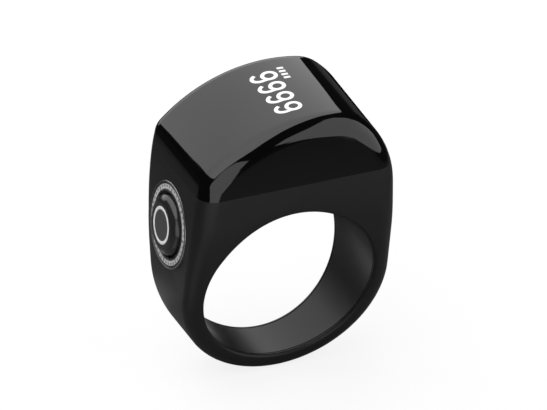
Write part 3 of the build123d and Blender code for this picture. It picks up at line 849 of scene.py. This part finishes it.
def half_depth(case, z):
    """Half of the case's size along the bore at a height."""
    wall = case.bore_radius + case.band_thickness
    slope = (case.crown_half_depth - case.band_half_depth) / (case.crown_foot + wall)
    lean = math.atan(slope)
    reach = case.foot_blend * math.tan(lean / 2)
    upper = case.crown_foot + reach
    lower = case.crown_foot - reach * math.cos(lean)
    if z >= upper:
        return case.crown_half_depth
    if z <= lower:
        return case.band_half_depth + slope * (z + wall)
    return case.crown_half_depth - case.foot_blend + math.sqrt(case.foot_blend**2 - (upper - z) ** 2)


def risen(z, start, distance):
    """The share of a distance that a height has climbed from its start."""
    return max(0.0, min(1.0, (z - start) / distance))


def edge_radius(case, z, side):
    """Radius of the case's outer edge at a height: small on the band, larger round the crown."""
    wall = case.bore_radius + case.band_thickness
    front_full = 9 * MM
    front_power = 1.6
    back_full = 6 * MM
    back_power = 2.6
    back_top_start = 7 * MM
    back_top_climb = 7.5 * MM
    if side < 0:
        share = risen(z, -wall, front_full + wall) ** front_power
        return case.band_edge + (case.crown_edge - case.band_edge) * share
    share = risen(z, -wall, back_full + wall) ** back_power
    radius = case.band_edge + (case.back_edge - case.band_edge) * share
    rise = risen(z, back_top_start, back_top_climb)
    eased = rise * rise * (3 - 2 * rise)
    return radius + (case.back_top_edge - radius) * eased


OUTLINE_POINTS = 384
EDGE_STEPS = 12
FACE_STEPS = 5
LIP_STEPS = 6
# The groove's corners: how far inside the lip and how deep, in groove widths
GROOVE_CORNERS = ((0.3, 0.0), (0.45, 2.0), (1.35, 2.0), (1.5, 0.0))


def case_loops(case, outline, side):
    """Loops of points from the middle of the outer wall round one face to the bore."""

    def on_face(spot, inset=0.0, share=1.0):
        return Vector((spot.x, side * (half_depth(case, spot.y) - inset) * share, spot.y))

    stations = []
    for point, outward in outline.stations(OUTLINE_POINTS):
        stations.append((point, outward, edge_radius(case, point.y, side)))
    loops = []
    for share in (0.0, 0.5, 1.0):
        loops.append([on_face(point, radius, share) for point, outward, radius in stations])
    for number in range(1, EDGE_STEPS + 1):
        turn = math.pi / 2 * number / EDGE_STEPS
        loop = []
        for point, outward, radius in stations:
            spot = point - outward * (radius * (1 - math.cos(turn)))
            loop.append(on_face(spot, radius * (1 - math.sin(turn))))
        loops.append(loop)
    face_edge = [Vector((spot.x, spot.z)) for spot in loops[-1]]
    rim = case.bore_radius + case.bore_lip
    for number in range(1, FACE_STEPS + 1):
        share = number / FACE_STEPS
        loops.append([on_face(flat.lerp(flat.normalized() * rim, share)) for flat in face_edge])
    for number in range(1, LIP_STEPS + 1):
        turn = math.pi / 2 * number / LIP_STEPS
        reach = rim - case.bore_lip * math.sin(turn)
        inset = case.bore_lip * (1 - math.cos(turn))
        loops.append([on_face(flat.normalized() * reach, inset) for flat in face_edge])
    lip = loops[-1]
    for inward, sunk in GROOVE_CORNERS:
        wider = 1 + case.liner_groove * sunk / case.bore_radius
        shift = side * case.liner_groove * inward
        loops.append([Vector((spot.x * wider, spot.y - shift, spot.z * wider)) for spot in lip])
    loops.append([Vector((spot.x, spot.y / 2, spot.z)) for spot in loops[-1]])
    return loops


def whole_case(case, outline):
    """The case as one closed ring, lofted from its loops."""
    front = case_loops(case, outline, -1)
    back = case_loops(case, outline, 1)
    middle = [Vector((spot.x, 0.0, spot.z)) for spot in front[-1]]
    piece = loop_of("case_body", front[0])
    pull_loops(piece, front[1:] + [middle] + back[::-1])
    return piece


def button_place(button, outline):
    """The button's own axes: Z out of the wall, Y up the wall, origin on the wall."""
    centre, radius = outline.low
    slope = math.asin((button.height - centre.y) / radius)
    away = Vector((-math.cos(slope), 0, math.sin(slope)))
    out = Vector((-math.cos(button.lean), 0, math.sin(button.lean)))
    up = Vector((math.sin(button.lean), 0, math.cos(button.lean)))
    place = Matrix((up.cross(out), up, out)).transposed().to_4x4()
    place.translation = Vector((centre.x, 0, centre.y)) + away * radius
    return place


def hollow_crown(crown, case):
    """Cuts the display's room out of the crown."""
    foot = case.parting_height - OVERCUT
    ceiling = 17.6 * MM
    left = -9.4 * MM
    right = 10.0 * MM
    room = [
        (left, foot), (right, foot), (right, 14.6 * MM),
        (8.4 * MM, ceiling), (-6.5 * MM, ceiling), (left, 15.0 * MM),
    ]
    cut_away(crown, bar_of("crown_room", room, 6.5 * MM))


def hollow_body(body, case):
    """Cuts the electronics' room, stepped over the bore, and the contact holes out of the body."""
    top = case.parting_height + OVERCUT
    step = 11.4 * MM
    step_left = -5.8 * MM
    step_right = 6.4 * MM
    floor = 9.9 * MM
    left = -9.6 * MM
    right = 10.2 * MM
    room = [
        (left, top), (left, floor), (step_left, floor), (step_left, step),
        (step_right, step), (step_right, floor), (right, floor), (right, top),
    ]
    cut_away(body, bar_of("body_room", room, 6.6 * MM))
    hole_radius = 0.78 * MM
    hole_depth = 2 * MM
    hole_foot = 9.7 * MM
    hole_place = 2 * MM
    hole = [(0, 0), (hole_radius, 0), (hole_radius, hole_depth), (0, hole_depth)]
    for along in (-hole_place, hole_place):
        place = Matrix.Translation((0, along, hole_foot))
        cut_away(body, turned("contact_hole", hole, place, 48))


def sink_button(body, button, outline):
    """Cuts the button's stepped pocket out of the body."""
    bezel_room = button.bezel_outside + 0.015 * MM
    bezel_seat = button.bezel_stand - button.bezel_thickness
    flange_room = button.flange_radius + 0.1 * MM
    flange_floor = -1.41 * MM
    switch_room = 2.25 * MM
    switch_floor = -2.37 * MM
    pocket = [
        (0, OVERCUT), (bezel_room, OVERCUT), (bezel_room, bezel_seat), (flange_room, bezel_seat),
        (flange_room, flange_floor), (switch_room, flange_floor), (switch_room, switch_floor),
        (0, switch_floor),
    ]
    cut_away(body, turned("button_pocket", pocket, button_place(button, outline), 128))


class TASBIH_OT_case(bpy.types.Operator):
    """Models the ring case and the display crown from one lofted ring"""

    bl_idname = "tasbih.case"
    bl_label = "Case and display crown"

    def execute(self, context):
        case = context.scene.tasbih_case
        button = context.scene.tasbih_button
        colours = context.scene.tasbih_colours
        outline = Outline(case)
        body = whole_case(case, outline)
        crown = copy_of(body, "display_crown")
        split_off(body, case.parting_height, above=False)
        split_off(crown, case.parting_height, above=True)
        hollow_crown(crown, case)
        hollow_body(body, case)
        sink_button(body, button, outline)
        merge_flats(crown)
        merge_flats(body)
        finish_piece(body, satin_case(colours), "ring", "housing", "housing")
        finish_piece(crown, smoked_crown(colours), "ring", "crown_lens", "crown_lens")
        return {"FINISHED"}


def bezel_profile(button):
    """A flat ring with rounded rims, a groove inside the outer one and a shallow printed band."""
    face = button.bezel_stand
    back = face - button.bezel_thickness
    groove = face - 0.09 * MM
    band = face - 0.05 * MM
    outside = button.bezel_outside
    inside = button.bezel_inside
    outer_round = 0.08 * MM
    inner_round = 0.06 * MM
    return [
        (inside, back), (outside, back),
        *arc_points(outside - outer_round, face - outer_round, outer_round, 0, 90),
        (outside - 0.14 * MM, face), (outside - 0.2 * MM, groove),
        (outside - 0.28 * MM, groove), (outside - 0.32 * MM, band),
        (inside + 0.16 * MM, band), (inside + 0.13 * MM, face),
        *arc_points(inside + inner_round, face - inner_round, inner_round, 90, 180),
    ]


def cap_profile(button):
    """A flanged cap with a side like a quarter of an ellipse and a dished face with a groove."""
    face = button.cap_height
    groove = face - button.inlay_depth
    flange_top = -0.7 * MM
    flange_back = -1.15 * MM
    boss_back = -1.3 * MM
    boss_radius = 0.8 * MM
    side = button.cap_base - button.cap_face
    return [
        (0, boss_back), (boss_radius, boss_back), (boss_radius, flange_back),
        (button.flange_radius, flange_back), (button.flange_radius, flange_top),
        (button.cap_base, flange_top),
        *arc_points(button.cap_face, 0, side, 0, 90, face, 18),
        (button.inlay_outside + 0.12 * MM, face - 0.015 * MM),
        (button.inlay_outside, face - 0.02 * MM),
        (button.inlay_outside, groove), (button.inlay_inside, groove),
        (button.inlay_inside, face - 0.025 * MM),
        (1.2 * MM, face - 0.035 * MM), (0.6 * MM, face - 0.045 * MM), (0, face - 0.05 * MM),
    ]


def inlay_profile(button):
    """A ring that fills the groove, with a gently domed top."""
    face = button.cap_height
    groove = face - button.inlay_depth
    play = 0.005 * MM
    outside = button.inlay_outside - play
    inside = button.inlay_inside + play
    shoulder = 0.04 * MM
    return [
        (inside, groove), (outside, groove), (outside, face - 0.03 * MM),
        (outside - shoulder, face - 0.008 * MM),
        ((outside + inside) / 2, face),
        (inside + shoulder, face - 0.008 * MM), (inside, face - 0.03 * MM),
    ]


class TASBIH_OT_button(bpy.types.Operator):
    """Turns the bezel, the push cap and its white ring"""

    bl_idname = "tasbih.button"
    bl_label = "Side button"

    def execute(self, context):
        button = context.scene.tasbih_button
        colours = context.scene.tasbih_colours
        place = button_place(button, Outline(context.scene.tasbih_case))
        bezel = turned("bezel_ring", bezel_profile(button), place)
        finish_piece(bezel, printed_bezel(colours, button, place), "ring", "button_bezel", "button_bezel")
        cap = turned("push_cap", cap_profile(button), place)
        finish_piece(cap, gloss_cap(colours, button, place), "button", "button_cap", "button_cap")
        inlay = turned("ring_inlay", inlay_profile(button), place)
        finish_piece(inlay, white_inlay(colours), "button", "button_inlay", "button_inlay")
        return {"FINISHED"}


def nine_stroke(count):
    """A nine: one flattened stroke from its tail up the right side and round its bowl."""
    wide = (count.numeral_width - count.stroke) / 2
    tall = (count.numeral_height - count.stroke) / 2
    bowl = tall * 0.55
    tail = tall * 0.65
    tail_middle = -tall * 0.35
    path = arc_points(0, tail_middle, wide, 205, 360, tail, 10)
    path += arc_points(0, tall - bowl, wide, 0, 338, bowl, 30)
    leave_all()
    bpy.ops.curve.primitive_nurbs_path_add()
    stroke = named("numeral")
    stroke.data.splines.clear()
    spline = stroke.data.splines.new("POLY")
    spline.points.add(len(path) - 1)
    for point, (across, up) in zip(spline.points, path):
        point.co = (across, up, 0.0, 1.0)
    stroke.data.bevel_depth = count.stroke / 2
    stroke.data.bevel_resolution = 3
    stroke.data.use_fill_caps = True
    bpy.ops.object.convert(target="MESH")
    stroke = named("numeral")
    flatness = 0.06
    stroke.scale = (1.0, 1.0, flatness)
    settle(stroke)
    edit_all(stroke)
    close_up()
    return stroke


def battery_bar(count):
    """One battery bar with rounded edges."""
    leave_all()
    bpy.ops.mesh.primitive_cube_add(size=1.0)
    bar = named("bar")
    thickness = 0.026 * MM
    bar.scale = (count.bar_width, count.bar_length, thickness)
    settle(bar)
    soften(bar, width=0.01 * MM)
    edit_all(bar)
    bpy.ops.mesh.subdivide(number_cuts=1)
    leave_all()
    return bar


def laid_row(name, first, outline, middle, start, pitch):
    """Lays four copies in a row along the bore, tops towards the far side, and joins them."""
    copies = [first] + [copy_of(first, f"{name}_{number}") for number in (2, 3, 4)]
    for number, copy in enumerate(copies):
        for vertex in copy.data.vertices:
            across, up, rise = vertex.co
            x = middle + up
            vertex.co = (x, start - number * pitch - across, outline.roof(x) + rise)
    take(first)
    for copy in copies:
        copy.select_set(True)
    bpy.ops.object.join()
    return named(name)


class TASBIH_OT_count(bpy.types.Operator):
    """Models the lit numerals and battery bars on the crown"""

    bl_idname = "tasbih.count"
    bl_label = "Lit count"

    def execute(self, context):
        count = context.scene.tasbih_count
        outline = Outline(context.scene.tasbih_case)
        light = lit_count(context.scene.tasbih_colours)
        spacing = (count.row_middle, count.first_middle, count.pitch)
        numerals = laid_row("count_numerals", nine_stroke(count), outline, *spacing)
        finish_piece(numerals, light, "ring", "display_front_glass")
        spacing = (count.bar_middle, count.bar_first, count.bar_pitch)
        bars = laid_row("battery_bars", battery_bar(count), outline, *spacing)
        finish_piece(bars, light, "ring", "display_front_glass")
        return {"FINISHED"}


class TASBIH_OT_inside(bpy.types.Operator):
    """Gives the pieces inside the case their finishes"""

    bl_idname = "tasbih.inside"
    bl_label = "Pieces inside"

    def execute(self, context):
        for make, pieces in INSIDE.items():
            for name, choices in pieces.items():
                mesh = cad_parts[name].data
                mesh.materials.clear()
                mesh.materials.append(make(name + "_finish", *choices))
        return {"FINISHED"}


# Shapes of the lamps, each cut to the highlight that it leaves: those overhead and behind in scrim heights,
# the upright ones in scrim distances to the side and up, and the cards on the floor in millimetres
OVERHEAD = [
    (-1.09, -0.69), (-0.81, -0.7), (-0.61, -0.79), (-0.47, -0.86), (-0.34, -0.86), (-0.13, -0.56),
    (0.05, -0.24), (0.23, 0.0), (0.45, 0.31), (0.64, 0.53), (0.86, 0.83), (1.33, 2.04),
    (1.57, 2.48), (1.8, 2.95), (-1.8, 2.95), (-1.57, 2.48), (-1.28, 1.95), (-1.13, 0.48),
]
BEHIND = [(-1.8, 1.0), (1.8, 1.0), (1.8, 0.0), (-1.8, 0.0)]
BEHIND_PLACE = 2.95
UPRIGHT_RIGHT = [
    (-0.82, -0.0045), (-0.83, 0.13), (-0.7, 0.35), (-0.5, 0.85), (-0.5, 1.56), (-0.54, 1.93), (-0.2, 1.94),
    (0.38, 1.42), (0.72, 1.01), (0.91, 0.82), (1.06, 0.65), (1.14, 0.34), (0.94, 0.06), (0.88, -0.0045),
]
UPRIGHT_LEFT = [
    (0.82, -0.0045), (0.79, 0.32), (0.6, 0.81), (0.55, 0.98), (0.4, 0.96), (0.19, 0.84), (-0.06, 0.56),
    (-0.3, 0.23), (-0.36, -0.0045),
]
RIGHT_CARD = [
    (31.0, -60.1), (35.4, -62.4), (41.5, -64.7), (53.0, -67.6), (69.9, -69.1), (92.8, -63.7),
    (118.4, -48.8), (160.8, -25.2), (209.0, -19.6), (301.6, -12.6), (3980.0, 200.0), (1030.0, -3860.0),
    (119.0, -524.0), (51.6, -189.8), (40.3, -130.5), (32.6, -94.5), (30.2, -80.6), (28.0, -69.4),
    (28.0, -65.3), (28.8, -63.4), (30.0, -61.1),
]
LEFT_CARD = [
    (-2.2, -57.2), (-71.9, -64.1), (-84.9, -63.0), (-121.5, -79.3), (-3360.0, -2150.0), (20.0, -4000.0),
    (10.4, -267.0), (9.0, -141.0), (8.9, -91.4), (8.8, -69.7), (7.5, -58.5), (4.0, -55.5),
]
# Small lit cards near the ring that show in its gloss only, and a black sheet of painted shade on the floor
# behind the bore, each with its radiance
GLOSS_CARDS = {
    "wall_card": ([(-24, 13), (-8, 12), (-8, 18.5), (-22, 20)], 0.36),
    "bore_card": ([(-2, 10), (3, 11), (3, 18), (-2, 19)], 1.0),
    # A black sheet that paints shade on the floor behind the bore, seen only in the ring's gloss
    "bore_painted_shade": ([(3.5, 12), (14, 13), (60, 60), (40, 80), (3.5, 27)], 0.0),
    "shoulder_card": ([(45, 78), (85, 70), (420, 380), (250, 420)], 0.065),
    "edge_card": (
        [(-30, -6), (-24, -5), (-18, -12), (-24, -28), (-34, -42), (-48, -36), (-40, -20)], 0.6
    ),
}
# Painted pool of light on the floor, seen by all rays but the camera's: its grey by the distance from the
# ring in tenths of a metre, paler near the ring and dark far off
FLOOR_PAINTED_LIGHT = [(0.3, 0.16), (0.55, 0.12), (0.7, 0.078), (0.81, 0.075), (0.93, 0.0)]


def lay_floor(colours):
    """A wide pale floor under the ring, white to the camera but with the ring's shadow, and a painted pool
    of light to other rays.
    """
    leave_all()
    bpy.ops.mesh.primitive_plane_add(size=24.0, location=(0, 0, cad_low.z))
    floor = named("studio_floor")
    settle(floor)
    edit_all(floor)
    bpy.ops.mesh.subdivide(number_cuts=9)
    leave_all()
    finish = Finish("studio_floor")
    seen = seen_share(finish, gloss=0.01)
    pale = finish.mottle(finish.noise(0.4), colours.floor_white, 0.98, 1.02)
    reach = finish.node("VectorMath", {0: finish.place()}, "Value", operation="LENGTH")
    # To all rays but the camera's the floor shows the grey of its painted pool of light
    colour = finish.mix(seen, finish.ramp(reach * 10.0, FLOOR_PAINTED_LIGHT), pale)
    painted = finish.node("BsdfDiffuse", {"Color": colour})
    white = finish.node("Emission", {"Color": grey(1.0), "Strength": 1.0})
    glow = 0.85
    shader = finish.node("MixShader", {0: seen * glow, 1: painted, 2: white})
    floor.data.materials.append(finish.close(shader))


def seen_share(finish, gloss):
    """One to the camera and through glass, and a small share in the gloss of the black surfaces."""
    camera = finish.node("LightPath", out="Is Camera Ray")
    through = finish.node("LightPath", out="Is Transmission Ray")
    mirrored = finish.node("LightPath", out="Is Glossy Ray")
    return camera + through + mirrored * gloss


def set_surround(scene):
    """Dim room light, white behind the floor."""
    world = bpy.data.worlds.new("studio_surround")
    scene.world = world
    finish = Finish("studio_surround", world)
    colour = finish.mix(seen_share(finish, gloss=0.003), grey(0.007), grey(1.0))
    back = finish.node("Background", {"Color": colour, "Strength": 1.0})
    finish.node("OutputWorld", {"Surface": back})


def hang_lamps(stage):
    """Soft scrims overhead, behind and to both sides in front, and cards on the floor, one of them a black
    sheet of painted shade.
    """
    high = stage.scrim_height
    away = stage.scrim_distance
    overhead = [(x * high, y * high, high) for x, y in OVERHEAD]
    behind = [(x * high, BEHIND_PLACE * high, z * high) for x, z in BEHIND]
    scrim("overhead_scrim", overhead, radiance=2.42, far_radiance=1.6, far=1.35 * high)
    scrim("behind_scrim", behind, radiance=1.6)
    scrim("right_scrim", upright(UPRIGHT_RIGHT, 125, away), radiance=1.45)
    scrim("left_scrim", upright(UPRIGHT_LEFT, -160, away), radiance=1.45)
    scrim("right_card", on_floor(RIGHT_CARD), radiance=1.4)
    scrim("left_card", on_floor(LEFT_CARD), radiance=1.4)
    for name, (shape, radiance) in GLOSS_CARDS.items():
        card = scrim(name, on_floor(shape), radiance)
        card.visible_diffuse = False


def on_floor(shape):
    """Points just above the floor, given in millimetres from the bore's middle."""
    return [(x * MM, y * MM, cad_low.z + 0.2 * MM) for x, y in shape]


def upright(shape, bearing, distance):
    """Places a shape of side and height on an upright plane facing the ring, its bearing from +Y."""
    turn = math.radians(bearing)
    ahead = Vector((math.sin(turn), math.cos(turn), 0))
    aside = Vector((math.cos(turn), -math.sin(turn), 0))
    return [(ahead + aside * side + Vector((0, 0, rise))) * distance for side, rise in shape]


def scrim(name, points, radiance, far_radiance=None, far=None):
    """A lit sheet of this shape, hidden from the camera, which may be dimmer towards its far end."""
    sheet = filled(name, points)
    leave_all()
    finish = Finish(name)
    strength = radiance
    if far:
        away = finish.node("SeparateXYZ", {0: finish.place()}, "Y") / far
        share = finish.node("Clamp", {0: away})
        strength = radiance - share * (radiance - far_radiance)
    light = finish.node("Emission", {"Color": grey(1.0), "Strength": strength})
    sheet.data.materials.append(finish.close(light))
    sheet.visible_camera = False
    sheet.visible_shadow = False
    return sheet


def set_camera(scene, stage):
    """A camera without perspective at the photograph's viewing angle."""
    level = math.cos(stage.elevation)
    back = Vector((math.sin(stage.azimuth) * level, -math.cos(stage.azimuth) * level, 0))
    back.z = math.sin(stage.elevation)
    leave_all()
    bpy.ops.object.camera_add(location=Vector(stage.aim) + back * stage.camera_distance)
    camera = named("studio_camera")
    camera.rotation_euler = (-back).to_track_quat("-Z", "Y").to_euler()
    camera.data.type = "ORTHO"
    camera.data.ortho_scale = stage.picture_width
    camera.data.clip_start = 0.01
    camera.data.clip_end = 20.0
    scene.camera = camera


class TASBIH_OT_stage(bpy.types.Operator):
    """Lays the floor and sets the lamps, the surround and the camera"""

    bl_idname = "tasbih.stage"
    bl_label = "Stage"

    def execute(self, context):
        scene = context.scene
        stage = scene.tasbih_stage
        scene.view_settings.view_transform = "Standard"
        lay_floor(scene.tasbih_colours)
        set_surround(scene)
        hang_lamps(stage)
        set_camera(scene, stage)
        return {"FINISHED"}


class TASBIH_PT_panel(bpy.types.Panel):
    """Lists the counter's operators and sizes"""

    bl_idname = "TASBIH_PT_panel"
    bl_label = "Tasbih counter"
    bl_space_type = "VIEW_3D"
    bl_region_type = "UI"
    bl_category = "Tasbih"

    def draw(self, context):
        layout = self.layout
        for operator in OPERATORS:
            layout.operator(operator.bl_idname)
        for title, (store, group) in STORES.items():
            column = layout.column()
            column.label(text=title)
            for key in group.__annotations__:
                column.prop(getattr(context.scene, store), key)


OPERATORS = (TASBIH_OT_case, TASBIH_OT_button, TASBIH_OT_count, TASBIH_OT_inside, TASBIH_OT_stage)
STORES = {
    "Case": ("tasbih_case", CaseSizes),
    "Button": ("tasbih_button", ButtonSizes),
    "Count": ("tasbih_count", CountSizes),
    "Colours": ("tasbih_colours", FinishColours),
    "Stage": ("tasbih_stage", StageSizes),
}


def register():
    for name, group in STORES.values():
        bpy.utils.register_class(group)
        setattr(bpy.types.Scene, name, bpy.props.PointerProperty(type=group))
    for operator in OPERATORS:
        bpy.utils.register_class(operator)
    bpy.utils.register_class(TASBIH_PT_panel)


def unregister():
    bpy.utils.unregister_class(TASBIH_PT_panel)
    for operator in reversed(OPERATORS):
        bpy.utils.unregister_class(operator)
    for name, group in reversed(STORES.values()):
        delattr(bpy.types.Scene, name)
        bpy.utils.unregister_class(group)


def main():
    register()
    bpy.ops.tasbih.case()
    bpy.ops.tasbih.button()
    bpy.ops.tasbih.count()
    bpy.ops.tasbih.inside()
    bpy.ops.tasbih.stage()


if __name__ == "__main__":
    main()
